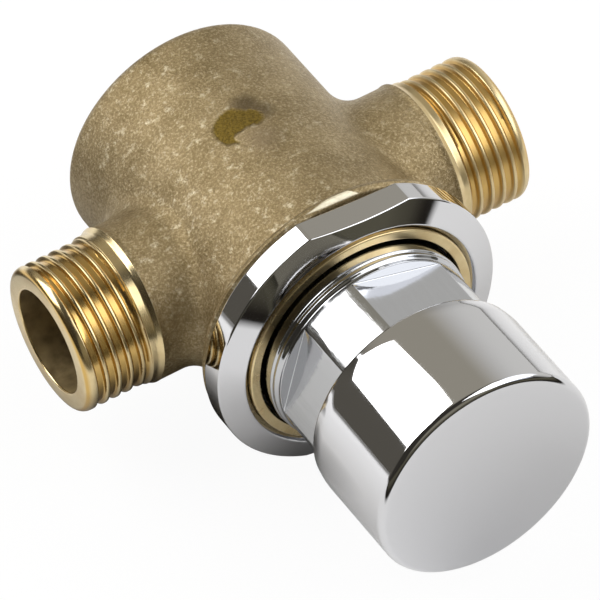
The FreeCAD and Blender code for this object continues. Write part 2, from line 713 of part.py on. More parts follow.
def make_return_spring():
    """The coil spring that pushes the piston and the button back, with both ends ground flat.

    Its round wire is drawn with eight sides, which keeps the many turns light.
    """
    coil = make_body("spring_coil")
    wire = make_sketch(coil, "spring_wire", "XY_Plane")
    add_outline(wire, [
        ("wire_outer", "wire_low_corner"), ("wire_outer", "wire_high_corner"),
        ("wire_outer_corner", "wire_high"), ("wire_inner_corner", "wire_high"),
        ("wire_inner", "wire_high_corner"), ("wire_inner", "wire_low_corner"),
        ("wire_inner_corner", "wire_low"), ("wire_outer_corner", "wire_low")])
    helix = coil.newObject("PartDesign::AdditiveHelix", "spring_helix")
    helix.Profile = wire
    helix.ReferenceAxis = (wire, ["V_Axis"])
    helix.Mode = "height-turns-angle"
    helix.Height = number("spring_length")
    helix.setExpression("Height", cell("spring_length"))
    helix.Turns = number("spring_turns")
    helix.setExpression("Turns", cell("spring_turns"))
    ground = make_column("spring_ground", "Part::Cylinder", "Radius",
                         "timing_bore_radius", "thrust_washer_back", "spring_length")
    spring = doc.addObject("Part::Common", "return_spring")
    spring.Label = "return_spring"
    spring.Base = coil
    spring.Tool = ground
    doc.recompute()
    return spring


def make_washer(label, inner, outer, front, back):
    """A plain flat ring about the button axis."""
    return turned_body(label, [(inner, front), (outer, front), (outer, back), (inner, back)])


def make_piston_lip_seal():
    """The rubber cup ring on the piston, open to the rear between its two lips."""
    return turned_body("piston_lip_seal", [
        ("seal_inner", "seal_front"), ("seal_outer", "seal_front"), ("seal_outer", "seal_back"),
        ("seal_lip_outer", "seal_back"), ("seal_notch_radius", "seal_notch"),
        ("seal_lip_inner", "seal_back"), ("seal_inner", "seal_back")])


def make_disc_holder():
    """The brass cup that backs the rubber valve disc."""
    return turned_body("disc_holder", [
        ("holder_bore", "disc_back"), ("holder_inner", "disc_back"), ("holder_inner", "holder_front"),
        ("holder_radius", "holder_front"), ("holder_radius", "holder_back"), ("holder_bore", "holder_back")])


pieces = [
    make_valve_body(),
    make_ring_nut(),
    make_bonnet(),
    make_washer("bonnet_gasket", "gasket_inner", "gasket_outer", "flange_back", "mouth_floor"),
    make_washer("stem_wiper", "stem_bore", "wiper_outer", "bonnet_front", "wiper_back"),
    make_o_ring("stem_o_ring", "stem_o_ring_radius", "stem_o_ring_section", "stem_o_ring_place"),
    make_cartridge_sleeve(),
    make_o_ring("cartridge_o_ring", "nose_o_ring_radius", "nose_o_ring_section", "port_axis"),
    make_washer("spring_seat_washer", "seat_washer_inner", "washer_outer", "spring_back", "bonnet_rear"),
    make_return_spring(),
    make_button_cap(),
    make_stem(),
    make_piston(),
    make_piston_lip_seal(),
    make_piston_circlip(),
    make_timing_jet(),
    make_washer("spring_thrust_washer", "washer_inner", "washer_outer", "piston_back", "thrust_washer_back"),
    make_washer("valve_disc", "disc_bore", "disc_radius", "disc_front", "disc_back"),
    make_disc_holder(),
    make_disc_nut(),
]
doc.recompute()

for item in doc.Objects:
    if "Invalid" in item.State or "Error" in item.State:
        raise RuntimeError(f"{item.Name} failed: {item.State}")
    if item.TypeId in ("PartDesign::Pocket", "PartDesign::Groove"):
        if item.Shape.Volume > item.BaseFeature.Shape.Volume - 0.01:
            raise RuntimeError(f"{item.Name} cuts nothing")

for piece in pieces:
    shape = piece.Shape
    if shape.isNull() or not shape.isValid() or len(shape.Solids) != 1:
        raise RuntimeError(f"{piece.Label} isn't one valid solid")
    shape.exportStep(f"parts/{piece.Label}.step")
    print(f"{piece.Label}: {shape.Volume:.1f} cubic mm")
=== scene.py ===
# %% [markdown]
# # A timed shut-off valve
# The real valve is a sand-cast brass body with two threaded ports. A chromed ring nut clamps it behind a
# wall plate, a chromed bonnet is screwed into its mouth, and a chromed button slides over the bonnet. The
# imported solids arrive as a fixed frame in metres, so each piece goes where the solids say, with no fitting.
# Each visible piece is worked out with numpy as a surface of two parameters.

# %% Load the frame
import json
import math

import bmesh
import bpy
import numpy as np
from mathutils import Matrix, Vector


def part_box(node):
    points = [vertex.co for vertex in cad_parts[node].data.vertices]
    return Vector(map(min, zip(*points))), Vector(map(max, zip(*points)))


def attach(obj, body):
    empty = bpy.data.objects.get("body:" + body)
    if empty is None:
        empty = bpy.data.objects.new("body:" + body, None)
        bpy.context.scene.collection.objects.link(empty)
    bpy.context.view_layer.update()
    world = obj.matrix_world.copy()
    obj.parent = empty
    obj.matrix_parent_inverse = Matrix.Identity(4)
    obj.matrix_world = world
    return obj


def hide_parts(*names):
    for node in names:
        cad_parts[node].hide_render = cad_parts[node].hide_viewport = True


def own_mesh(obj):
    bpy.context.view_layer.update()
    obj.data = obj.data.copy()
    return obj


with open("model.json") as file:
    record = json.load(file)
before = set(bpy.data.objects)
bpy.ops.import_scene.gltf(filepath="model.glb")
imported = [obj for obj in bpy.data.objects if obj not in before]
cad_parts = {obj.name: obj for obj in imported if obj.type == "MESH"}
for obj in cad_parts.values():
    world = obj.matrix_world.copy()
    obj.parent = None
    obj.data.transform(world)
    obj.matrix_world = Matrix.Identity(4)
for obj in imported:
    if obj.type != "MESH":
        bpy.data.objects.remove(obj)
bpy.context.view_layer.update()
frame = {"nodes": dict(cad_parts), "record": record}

# %% [markdown]
# ## Sizes
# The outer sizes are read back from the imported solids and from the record's mounts, in millimetres, because
# a part drawing is easier to follow in millimetres than in metres. Sizes that a box can't give are named
# where they are first needed.

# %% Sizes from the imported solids
MM = 0.001


def corners_of(node):
    """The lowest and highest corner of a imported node, in millimetres."""
    low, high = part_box(node)
    return np.array(low) / MM, np.array(high) / MM


body_low, body_high = corners_of("valve_body")
nut_low, nut_high = corners_of("ring_nut")
bonnet_low, bonnet_high = corners_of("bonnet")
cap_low, cap_high = corners_of("button_cap")
mounts = {mount["name"]: mount for mount in frame["record"]["mounts"]}
port_y = mounts["outlet_thread"]["pos_m"][1] / MM
thread_radius = mounts["outlet_thread"]["dims"]["r_mm"]
bore_radius = mounts["outlet_bore"]["dims"]["r_mm"]
port_end, back_y, collar_radius = body_high
rim_y = body_low[1]
print("port end", port_end, "back", back_y, "rim", rim_y, "collar", collar_radius)

# %% [markdown]
# ## From grids to a mesh
# A surface of two parameters is a grid of points, and neighbouring grid points are the corners of a quad.
# Several grids make one piece: where two of them share an edge, their points agree, so they are welded by
# rounding the coordinates and keeping one point of each. A quad that has shrunk at a pole becomes a
# triangle.

# %% Weld grids
WELD_DIGITS = 4
# A small shift, so that two points that agree don't round to different sides.
OFF_THE_ROUNDING_EDGE = 0.0000317


def quads_of(rows, columns):
    """Corner numbers of a grid's quads: each point with its neighbours along both parameters."""
    index = np.arange(rows * columns).reshape(rows, columns)
    return np.stack([index[:-1, :-1], index[1:, :-1], index[1:, 1:], index[:-1, 1:]], axis=-1).reshape(-1, 4)


def weld(grids):
    """Join grids (points in mm, finish number) into points, face corners, corner counts and finishes.

    Points that agree to a ten-thousandth of a millimetre become one. A face leaves out repeated corners.
    """
    points = np.concatenate([grid.reshape(-1, 3) for grid, finish in grids])
    starts = np.cumsum([0] + [grid.shape[0] * grid.shape[1] for grid, finish in grids])
    quads = [quads_of(*grid.shape[:2]) + start for (grid, finish), start in zip(grids, starts)]
    finishes = np.repeat([finish for grid, finish in grids], [len(part) for part in quads])
    rounded = np.round(points + OFF_THE_ROUNDING_EDGE, WELD_DIGITS)
    _, first, number = np.unique(rounded, axis=0, return_index=True, return_inverse=True)
    faces = number.reshape(-1)[np.concatenate(quads)]
    kept = faces != np.roll(faces, -1, axis=1)
    whole = kept.sum(axis=1) >= 3
    return points[first], faces[whole][kept[whole]], kept[whole].sum(axis=1), finishes[whole]


print("points are welded to", WELD_DIGITS, "digits of a millimetre")

# %% Make a piece
SHARP_DEGREES = 32


def make_piece(name, grids, finishes, body, node):
    """A mesh object from welded grids, facing outwards, that stands for a node and rides on its body."""
    points, loops, counts, tags = weld(grids)
    mesh = bpy.data.meshes.new(name)
    mesh.vertices.add(len(points))
    mesh.vertices.foreach_set("co", (points * MM).astype(np.float32).ravel())
    mesh.loops.add(len(loops))
    mesh.loops.foreach_set("vertex_index", loops.astype(np.int32))
    mesh.polygons.add(len(counts))
    mesh.polygons.foreach_set("loop_start", (np.cumsum(counts) - counts).astype(np.int32))
    mesh.polygons.foreach_set("material_index", tags.astype(np.int32))
    mesh.update(calc_edges=True)
    mesh.validate()
    shell = bmesh.new()
    shell.from_mesh(mesh)
    bmesh.ops.recalc_face_normals(shell, faces=shell.faces)
    open_edges = sum(1 for edge in shell.edges if len(edge.link_faces) != 2)
    shell.to_mesh(mesh)
    shell.free()
    mesh.polygons.foreach_set("use_smooth", np.ones(len(mesh.polygons), bool))
    mesh.set_sharp_from_angle(angle=math.radians(SHARP_DEGREES))
    for finish in finishes:
        mesh.materials.append(finish)
    piece = bpy.data.objects.new(name, mesh)
    bpy.context.scene.collection.objects.link(piece)
    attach(piece, body)
    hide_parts(node)
    print(name, len(mesh.vertices), "points", len(mesh.polygons), "faces", open_edges, "open edges")
    return piece


print("edges of more than", SHARP_DEGREES, "degrees stay sharp")

# %% [markdown]
# ## Turned shapes with broken edges
# A lathe leaves no knife edges: each corner is broken with a file or polished round, and that thin bright
# line is what makes an edge look real. So every profile gets its corners softened before it is carried
# round the axis. A profile may change with the angle, which is how a milled flat on a round piece is made.

# %% Softened profiles
CURVE_STEPS = 4
ROWS_OF_CORNER = CURVE_STEPS + 3
MOST_OF_A_SIDE = 0.42
GUARD_OF_REACH, GUARD_OF_SIDE = 0.15, 0.05
TINY = 1e-9


def softened(corners, reaches, steps=CURVE_STEPS):
    """Round each corner of a profile: a quadratic curve from a point before it, towards it, to one past it.

    corners is (corner, column, 2); reaches says how far from each corner the rounding starts, in millimetres.
    A guard row just outside each end of a curve keeps the flats beside it flat in the shading.
    """
    rows = [corners[0]]
    for number, reach in enumerate(reaches, start=1):
        corner = corners[number]
        if reach == 0:
            rows.append(corner)
            continue
        ends = []
        for other in (corners[number - 1], corners[number + 1]):
            length = np.linalg.norm(other - corner, axis=-1, keepdims=True)
            way = (other - corner) / np.maximum(length, TINY)
            point = corner + way * np.minimum(reach, MOST_OF_A_SIDE * length)
            ends.append((point, way * np.minimum(GUARD_OF_REACH * reach, GUARD_OF_SIDE * length)))
        (start, before), (stop, after) = ends
        share = np.linspace(0, 1, steps + 1)[:, None, None]
        curve = (1 - share) ** 2 * start + 2 * share * (1 - share) * corner + share ** 2 * stop
        rows += [start + before, *curve, stop + after]
    rows.append(corners[-1])
    return np.stack(rows)


def columns_for(profile, count):
    """A profile, a list of pairs, for every column. A part of a pair is one number or one per column."""
    pairs = [np.stack([np.broadcast_to(part, count) for part in pair], axis=-1) for pair in profile]
    return np.stack(pairs).astype(float)


def turned(corners, count, steps=CURVE_STEPS):
    """A softened profile from corners of (radius, y, reach). The first and the last corner have no reach."""
    reaches = [corner[2] for corner in corners[1:-1]]
    return softened(columns_for([corner[:2] for corner in corners], count), reaches, steps)


print("a softened corner has", ROWS_OF_CORNER, "rows")

# %% Lathes
def about_button_axis(profile, angle):
    """Turn a profile about the button's axis: x = r cos(angle), z = r sin(angle), y as it is."""
    radius, y = profile[..., 0], profile[..., 1]
    return np.stack([radius * np.cos(angle), y, radius * np.sin(angle)], axis=-1)


def about_port_axis(profile, angle, side):
    """Turn a profile of (distance out, radius) about a port's axis: y from the port's height, z up."""
    out, radius = profile[..., 0], profile[..., 1]
    return np.stack([side * out, port_y + radius * np.cos(angle), radius * np.sin(angle)], axis=-1)


def quarter_turn(rows):
    """Evenly spaced angles from nothing to a right angle, for the rows of a rounded edge."""
    return np.linspace(0, np.pi / 2, rows)


ROUND = 80
ALONG = 28
full_turn = np.linspace(-0.5 * np.pi, 1.5 * np.pi, 2 * ROUND + 1)
columns = len(full_turn)
print("columns round the button axis", 2 * ROUND, "round a port", 2 * (ROUND + ALONG))

# %% [markdown]
# ## Finishes
# A material starts from what the real one is and how its surface was made. One small function adds a node
# with its settings and links, and another turns an sRGB hex colour into the linear numbers that the shader
# works with. Pattern scales are given as features per metre, worked out from a size in millimetres. A
# socket goes by its name, or by its number where a node uses one name twice: a Map Range has its value, the
# two ends it comes from and the two ends it goes to as 0 to 4, and a colour Mix has its share as 0 and its
# two colours as 6 and 7.

# %% Helpers for the finishes
def linear(code):
    """An sRGB hex colour as linear numbers: a power curve above 0.04, a straight line below it."""
    value = np.array([int(code[i:i + 2], 16) for i in (1, 3, 5)]) / 255
    value = np.where(value <= 0.04045, value / 12.92, ((value + 0.055) / 1.055) ** 2.4)
    return (*value.tolist(), 1.0)


def per_mm(size):
    """The texture scale that gives features of this size in millimetres."""
    return 1 / (size * MM)


def put(tree, kind, sockets=(), ramp=(), **settings):
    """Add a node. sockets maps a socket's name or number to a value, or to the output that feeds it.

    It gives back the output that is in use, for the next node to be fed from.
    """
    made = tree.nodes.new("ShaderNode" + kind)
    for name, value in settings.items():
        setattr(made, name, value)
    for number, (place, code) in enumerate(ramp):
        stop = made.color_ramp.elements[number] if number < 2 else made.color_ramp.elements.new(place)
        stop.position = place
        stop.color = linear(code)
    for key, value in dict(sockets).items():
        if isinstance(value, bpy.types.NodeSocket):
            tree.links.new(value, made.inputs[key])
        else:
            made.inputs[key].default_value = value
    return next((output for output in made.outputs if output.enabled), None)


def new_finish(name):
    """An empty material with its shader and output joined, and the piece's own coordinates."""
    material = bpy.data.materials.new(name)
    material.use_nodes = True
    tree = material.node_tree
    shader = tree.nodes["Principled BSDF"]
    place = put(tree, "TexCoord").node.outputs["Object"]
    return material, tree, shader, place


print("mid grey in linear numbers", linear("#808080"))

# %% [markdown]
# ### Sand-cast brass, blasted
# The body was poured in a sand mould and blasted clean. Blasting leaves a matt, grainy skin of tiny dents,
# and each dent is a small mirror that glints where the light is strong and stays quiet in the shade. Part of
# that comes from relief, so much of the speckle here is bump. The real dents are finer than a tenth of a
# millimetre and are drawn a little coarser so that they show. Cloudy patches come from the sand. Clusters of
# brighter flecks are painted glints, heavier on top and to the left, where the light falls strongest, as the
# photograph shows.

# %% Cast skin
cloud_size, grain_size, cluster_size = 6, 0.36, 1.5
cast_brass, tree, shader, place = new_finish("cast brass, sand-blasted")
cloud = put(tree, "TexNoise", {
    "Vector": place, "Scale": per_mm(cloud_size), "Detail": 4.0, "Roughness": 0.6})
grain = put(tree, "TexNoise", {
    "Vector": place, "Scale": per_mm(grain_size), "Detail": 4.0, "Roughness": 0.75})
cluster = put(tree, "TexNoise", {
    "Vector": place, "Scale": per_mm(cluster_size), "Detail": 7.0, "Roughness": 0.8})
tone = put(tree, "MapRange", {0: cloud, 1: 0.3, 2: 0.7})
skin = put(tree, "ValToRGB", {0: tone}, ramp=[(0.0, "#756343"), (1.0, "#a5926f")])
speckle = put(tree, "ValToRGB", {0: grain}, ramp=[(0.3, "#5f4f33"), (0.52, "#94825b"), (0.72, "#e2d3b0")])
mixed = put(tree, "Mix", {0: 0.5, 6: skin, 7: speckle}, data_type="RGBA")
print("cast skin with grains of", grain_size, "mm and clusters of", cluster_size, "mm")

# %% Flecks, painted glints
left_x, right_x = -1, 7
low_z, high_z = 1, 11
spot = put(tree, "SeparateXYZ", {0: place}).node.outputs
# Painted glints: the share of pale flecks is larger on top and to the left, where the light falls strongest.
from_left = put(tree, "MapRange", {0: spot["X"], 1: left_x * MM, 2: right_x * MM, 3: 0.85, 4: 0.35})
from_above = put(tree, "MapRange", {0: spot["Z"], 1: low_z * MM, 2: high_z * MM, 3: 0.35, 4: 1.0})
blasted = put(tree, "Math", {0: from_left, 1: from_above}, operation="MULTIPLY")
painted_glint = put(tree, "MapRange", {0: cluster, 1: 0.55, 2: 0.72, 3: 0.0, 4: blasted})
skin_with_glints = put(tree, "Mix", {0: painted_glint, 6: mixed, 7: linear("#efe5c9")}, data_type="RGBA")
print("flecks fade between x", left_x, "and", right_x, "mm and below z", high_z, "mm")

# %% [markdown]
# Where the metal was poured in, the gate was snapped off, and a scar the shape of a hook is left on top of
# the barrel: a disc with a short arm, less a notch in its side. Round it the skin is smudged dark on one
# side and rubbed smooth on the other. These are balls round points of the piece's own coordinates, with
# edges made ragged by noise. The collar's front face took a light cut on the lathe, but only where the
# casting stood proud, so one patch is left above the nut; its pale colour is partly the cut metal and
# partly a painted highlight. It is what lies on the near side of four planes.

# %% Places on the skin
def near_point(tree, place, middle, inner_edge, outer_edge, most=1.0):
    """A share that is most inside a ball round a point and fades to nothing between two radii, in mm."""
    away = put(tree, "VectorMath", {0: place, 1: [part * MM for part in middle]}, operation="DISTANCE")
    return put(tree, "MapRange", {0: away, 1: inner_edge * MM, 2: outer_edge * MM, 3: most, 4: 0.0})


def short_of(tree, place, way, limit, soft=0.08):
    """A share that is one where the dot product with a way is short of a limit in mm, with a soft edge."""
    along = put(tree, "VectorMath", {0: place, 1: way}, operation="DOT_PRODUCT")
    return put(tree, "MapRange", {0: along, 1: (limit - soft) * MM, 2: (limit + soft) * MM, 3: 1.0, 4: 0.0})


wobble_size, wobble_far = 1.4, 0.9
wobble = put(tree, "TexNoise", {"Vector": place, "Scale": per_mm(wobble_size), "Detail": 4.0})
three_ways = wobble.node.outputs["Color"]
ragged = put(tree, "VectorMath", {
    0: three_ways, 1: (wobble_far * MM,) * 3, 2: place}, operation="MULTIPLY_ADD")
print("ragged edges wander by up to", wobble_far, "mm")

# %% Gate scar
scar_disc = near_point(tree, ragged, middle=(-1.4, 21.8, 18.4), inner_edge=2.8, outer_edge=3.3)
scar_arm = near_point(tree, ragged, middle=(1.1, 21.9, 18.3), inner_edge=1.3, outer_edge=1.8)
scar_bite = near_point(tree, ragged, middle=(-0.3, 18.6, 18.4), inner_edge=2.0, outer_edge=2.4)
scar_notch = near_point(tree, ragged, middle=(-1.5, 19.6, 18.4), inner_edge=0.9, outer_edge=1.3)
whole = put(tree, "Math", {0: scar_disc, 1: scar_arm}, operation="MAXIMUM")
missing = put(tree, "Math", {0: scar_bite, 1: scar_notch}, operation="MAXIMUM")
scar = put(tree, "Math", {0: whole, 1: missing}, operation="SUBTRACT", use_clamp=True)
dark_smudge = near_point(tree, ragged, middle=(1.5, 24.6, 18.0), inner_edge=1.0, outer_edge=2.6, most=0.8)
side_smudge = near_point(tree, ragged, middle=(3.2, 22.6, 18.1), inner_edge=0.6, outer_edge=2.2, most=0.7)
rubbed_spot = near_point(tree, ragged, middle=(0.4, 18.0, 18.4), inner_edge=0.8, outer_edge=3.4, most=0.6)
marked = skin_with_glints
for share, code in ((dark_smudge, "#54462f"), (side_smudge, "#54462f"), (rubbed_spot, "#8b7a60")):
    marked = put(tree, "Mix", {0: share, 6: marked, 7: linear(code)}, data_type="RGBA")
scar_tone = put(tree, "ValToRGB", {0: grain}, ramp=[(0.3, "#47380f"), (0.7, "#88712c")])
scarred = put(tree, "Mix", {0: scar, 6: marked, 7: scar_tone}, data_type="RGBA")
print("gate scar and the marks beside it are in", scarred.node.name)

# %% Skimmed patch and relief
patch_back = 0.8
patch_edges = {
    "left": ((-0.171, 0.594, 0.688), 14.95),
    "right": ((0.704, 0.594, 0.688), 16.59),
    "lower": ((-0.06, -0.594, -0.688), -14.06),
}
scar_dent, dent_height = -1.5, 0.12
# The patch's pale colour is partly the lathe-cut metal and partly a painted highlight.
skimmed_highlight = short_of(tree, place, (0, 1, 0), patch_back)
for way, limit in patch_edges.values():
    skimmed_highlight = put(tree, "Math", {0: skimmed_highlight, 1: short_of(tree, place, way, limit)}, operation="MULTIPLY")
colour = put(tree, "Mix", {0: skimmed_highlight, 6: scarred, 7: linear("#f3ead0")}, data_type="RGBA")
tree.links.new(colour, shader.inputs["Base Color"])
shader.inputs["Metallic"].default_value = 0.8
rough = put(tree, "MapRange", {0: grain, 1: 0.3, 2: 0.7, 3: 0.53, 4: 0.37})
tree.links.new(rough, shader.inputs["Roughness"])
relief = put(tree, "Math", {0: grain, 1: cluster}, operation="ADD")
dented = put(tree, "Math", {0: scar, 1: scar_dent, 2: relief}, operation="MULTIPLY_ADD")
bump = put(tree, "Bump", {"Strength": 0.9, "Distance": dent_height * MM, "Height": dented})
tree.links.new(bump, shader.inputs["Normal"])
print(cast_brass.name, "has", len(tree.nodes), "nodes")

# %% [markdown]
# ### Machined brass
# The ports and the rim were cut on a lathe. Fresh cut brass is a pale, bright gold. Down in the thread's
# grooves the colour is a deeper yellow, painted in for the light that bounces between the flanks, so the
# colour follows the distance from the port's axis. The right port is a little duller than the left one, so
# the roughness grows from left to right.

# %% Machined brass
worn_size, fine_size, colour_reach, fine_height = 3, 0.4, 1, 0.02
pale_gold, bounce_gold = "#d5c296", "#c7a562"
cut_brass, tree, shader, place = new_finish("machined brass")
worn = put(tree, "TexNoise", {"Vector": place, "Scale": per_mm(worn_size), "Detail": 3.0})
fine = put(tree, "TexNoise", {"Vector": place, "Scale": per_mm(fine_size), "Detail": 3.0})
across = put(tree, "VectorMath", {0: place, 1: (0, 1, 1), 2: (0, -port_y * MM, 0)}, operation="MULTIPLY_ADD")
radius = put(tree, "VectorMath", {0: across}, operation="LENGTH")
# Painted bounce light: the deeper yellow in the grooves stands for light bounced between the thread's flanks.
depth = put(tree, "MapRange", {0: radius, 1: (thread_radius - colour_reach) * MM, 2: thread_radius * MM})
groove_bounce_tint = put(tree, "ValToRGB", {0: depth}, ramp=[
    (0.0, pale_gold), (0.25, pale_gold), (0.4, bounce_gold), (0.65, bounce_gold), (0.9, pale_gold)])
dulled = put(tree, "MapRange", {0: worn, 1: 0.35, 2: 0.7, 3: 0.0, 4: 0.45})
gold = put(tree, "Mix", {0: dulled, 6: groove_bounce_tint, 7: linear("#b89a66")}, data_type="RGBA")
tree.links.new(gold, shader.inputs["Base Color"])
shader.inputs["Metallic"].default_value = 1.0
spot = put(tree, "SeparateXYZ", {0: place}).node.outputs
duller = put(tree, "MapRange", {0: spot["X"], 1: -port_end * MM, 2: port_end * MM, 3: 0.0, 4: 0.14})
cut_rough = put(tree, "MapRange", {0: worn, 1: 0.3, 2: 0.7, 3: 0.18, 4: 0.26})
rough = put(tree, "Math", {0: cut_rough, 1: duller}, operation="ADD")
tree.links.new(rough, shader.inputs["Roughness"])
bump = put(tree, "Bump", {"Strength": 0.04, "Distance": fine_height * MM, "Height": fine})
tree.links.new(bump, shader.inputs["Normal"])
print(cut_brass.name, "has", len(tree.nodes), "nodes")

# %% [markdown]
# ### Polished chromium plate
# The nut, bonnet and button are brass, polished and plated with chromium. Chromium mirrors only a little
# over half of the light, so it looks darker and cooler than silver. The nut and the button are polished to
# a mirror. The bonnet is only buffed, which leaves it slightly uneven, and the inside of the button is left
# dull.

# %% Chromium plate
buffed_size, wave_size, wave_height, wave_stretch = 5, 1.2, 0.04, 0.2


def plated(name, code, smooth, coarse, unevenness):
    """Chromium plate: its roughness wanders between two values, and waves are drawn out along the axis."""
    material, tree, shader, place = new_finish(name)
    shader.inputs["Base Color"].default_value = linear(code)
    shader.inputs["Metallic"].default_value = 1.0
    buffed = put(tree, "TexNoise", {
        "Vector": place, "Scale": per_mm(buffed_size), "Detail": 5.0, "Roughness": 0.65})
    rough = put(tree, "MapRange", {0: buffed, 1: 0.3, 2: 0.75, 3: smooth, 4: coarse})
    tree.links.new(rough, shader.inputs["Roughness"])
    drawn = put(tree, "VectorMath", {0: place, 1: (1, wave_stretch, 1)}, operation="MULTIPLY")
    waves = put(tree, "TexNoise", {"Vector": drawn, "Scale": per_mm(wave_size), "Detail": 3.0})
    bump = put(tree, "Bump", {"Strength": unevenness, "Distance": wave_height * MM, "Height": waves})
    tree.links.new(bump, shader.inputs["Normal"])
    return material


chromium = plated("chromium plate, polished", "#c7c7c9", smooth=0.03, coarse=0.07, unevenness=0.02)
buffed_chromium = plated("chromium plate, buffed", "#b4b5b7", smooth=0.05, coarse=0.13, unevenness=0.5)
dull_plate = plated("chromium plate, unpolished", "#7d766a", smooth=0.42, coarse=0.52, unevenness=0.3)
print("plated finishes", chromium.name, buffed_chromium.name, dull_plate.name)

# %% [markdown]
# ### The finishes inside
# Rubber seals, an acetal sleeve, turned brass and bright stainless steel are hidden in the finished valve,
# but they show when the part is taken to pieces, so each gets its own finish. The bores are left dull, and
# they are coloured darker and browner than the turned metal, partly as painted shade of the deep bore.

# %% Inner finishes
def inner_finish(name, dark, light, size, metallic, smooth, coarse):
    """A finish whose colour and roughness wander between two values over patches of a size in millimetres."""
    material, tree, shader, place = new_finish(name)
    wander = put(tree, "TexNoise", {"Vector": place, "Scale": per_mm(size), "Detail": 4.0})
    colour = put(tree, "ValToRGB", {0: wander}, ramp=[(0.3, dark), (0.7, light)])
    tree.links.new(colour, shader.inputs["Base Color"])
    rough = put(tree, "MapRange", {0: wander, 1: 0.3, 2: 0.7, 3: smooth, 4: coarse})
    tree.links.new(rough, shader.inputs["Roughness"])
    shader.inputs["Metallic"].default_value = metallic
    return material


inner = {
    "rubber": inner_finish("nitrile rubber, moulded", "#131313", "#202020", 0.6, 0.0, 0.55, 0.7),
    "white_plastic": inner_finish("acetal, moulded", "#dedcd4", "#e9e8e2", 2.0, 0.0, 0.3, 0.42),
    "steel": inner_finish("stainless steel, bright drawn", "#a9a8a5", "#c2c1be", 0.8, 1.0, 0.2, 0.32),
    "turned_brass": inner_finish("brass, turned", "#d3b878", "#e6d09a", 0.7, 1.0, 0.2, 0.33),
}
# Partly painted shade: the bores' dark brown stands for the shade deep inside them.
bored_brass_shaded = inner_finish("brass, bored, painted shade", "#67573a", "#ac976c", 3.0, 0.55, 0.38, 0.5)
slots = {part["node"]: part["material_slot"] for part in frame["record"]["subparts"]}
for node, solid in frame["nodes"].items():
    if slots[node] in inner:
        solid.data.materials.clear()
        solid.data.materials.append(inner[slots[node]])
print("inner finishes", sorted(inner))

# %% [markdown]
# ## The cast body
# The barrel is a cylinder, and a port grows out of each side with a generous fillet, as castings need. A
# ball rolled along the corner between barrel and neck touches each of them along a curve, and the strip
# between the two curves is the fillet. Half of the barrel, unrolled flat, is a rectangle with a hole where
# the ball touches it, so a grid of straight lines from the hole's edge to the rectangle's border covers it
# exactly.

# %% Half a wall with a hole
def border(low, high):
    """The border of half a wall, unrolled: the far end, down one side, the near end, up the other side."""
    quarter = np.pi / 2
    across = np.linspace(-quarter, quarter, ROUND + 1)
    down = np.linspace(high, low, ALONG + 1)
    y = np.concatenate([np.full(ROUND, high), down[:-1], np.full(ROUND, low), down[::-1]])
    angle = np.concatenate([
        across[:-1], np.full(ALONG, quarter), across[::-1][:-1], np.full(ALONG + 1, -quarter)])
    return y, angle


def round_about(y, angle, radius, middle):
    """The direction from a hole's middle to each border point, as a steadily growing angle."""
    return np.unwrap(np.arctan2(radius * angle, y - middle))


def holed_wall(radius, edge_y, edge_angle, border_y, border_angle, side, rows):
    """Half a cylinder wall: straight lines, unrolled, from a hole's edge to the border, rolled up again."""
    share = np.linspace(0, 1, rows)[:, None]
    y = (1 - share) * edge_y + share * border_y
    angle = (1 - share) * edge_angle + share * border_angle
    return np.stack([side * radius * np.cos(angle), y, radius * np.sin(angle)], axis=-1)


print("border points", len(border(0, 1)[0]))

# %% Barrel halves and port fillets
collar_back, collar_fillet = 1.8, 0.9
barrel_radius, back_round = 18.1, 1.8
barrel_front, barrel_back = collar_back + collar_fillet, back_y - back_round
neck_radius, fillet = 11.0, 3.5
barrel_rows, fillet_rows = 15, 13
CAST, CUT, BORED_SHADED = 0, 1, 2
outer_y, outer_angle = border(barrel_front, barrel_back)
port_turn = round_about(outer_y, outer_angle, barrel_radius, port_y)
ball_y = port_y + (neck_radius + fillet) * np.cos(port_turn)
ball_z = (neck_radius + fillet) * np.sin(port_turn)
ball_x = np.sqrt((barrel_radius + fillet) ** 2 - ball_z ** 2)
touch_angle = np.arcsin(ball_z / (barrel_radius + fillet))


def port_fillet(side):
    """The rolling ball's strip: from where it touches the barrel to the neck, swung about its middle."""
    middle = np.stack([ball_x, ball_y, ball_z], axis=-1)
    on_barrel = np.stack([
        barrel_radius * np.cos(touch_angle), ball_y, barrel_radius * np.sin(touch_angle)], axis=-1)
    on_neck = np.stack([
        ball_x, port_y + neck_radius * np.cos(port_turn), neck_radius * np.sin(port_turn)], axis=-1)
    first, last = (on_barrel - middle) / fillet, (on_neck - middle) / fillet
    swing = np.arccos(np.sum(first * last, axis=-1))[:, None]
    share = np.linspace(0, 1, fillet_rows)[:, None, None]
    arc = (np.sin((1 - share) * swing) * first + np.sin(share * swing) * last) / np.sin(swing)
    return (middle + fillet * arc) * np.array([side, 1, 1])


body_grids = []
for side in (1, -1):
    half_barrel = holed_wall(barrel_radius, ball_y, touch_angle, outer_y, outer_angle, side, barrel_rows)
    body_grids += [(half_barrel, CAST), (port_fillet(side), CAST)]
print("fillet reaches out to", ball_x.max(), "mm")

# %% [markdown]
# ## The threaded ports
# Each port carries a half inch parallel pipe thread behind a short shoulder. A thread is a ridge that
# climbs one pitch per turn. If the grid's rows climb with it, every row follows one line of the thread, so
# crests stay crisp with few rows, and after one turn each row meets the row one pitch further on. Rows that
# climb past an end are held there. The crests are narrow and the roots are broad and nearly flat. The
# lathe's shoulder meets the rough neck where the casting happens to stand, so the edge between them wanders
# along the port.

# %% Thread
thread_start, thread_stop = 24.9, port_end - 1.2
thread_pitch, thread_depth = 25.4 / 14, 0.55
crest_half, flank_long, run_out = 0.08, 0.21, 0.45
# Where the rows of one pitch stand, as shares of it: closer together on the flanks than at the root.
one_pitch = np.array([
    0, 0.08, 0.11, 0.14, 0.17, 0.2, 0.24, 0.29, 0.4, 0.6, 0.71, 0.76, 0.8, 0.83, 0.86, 0.89, 0.92])


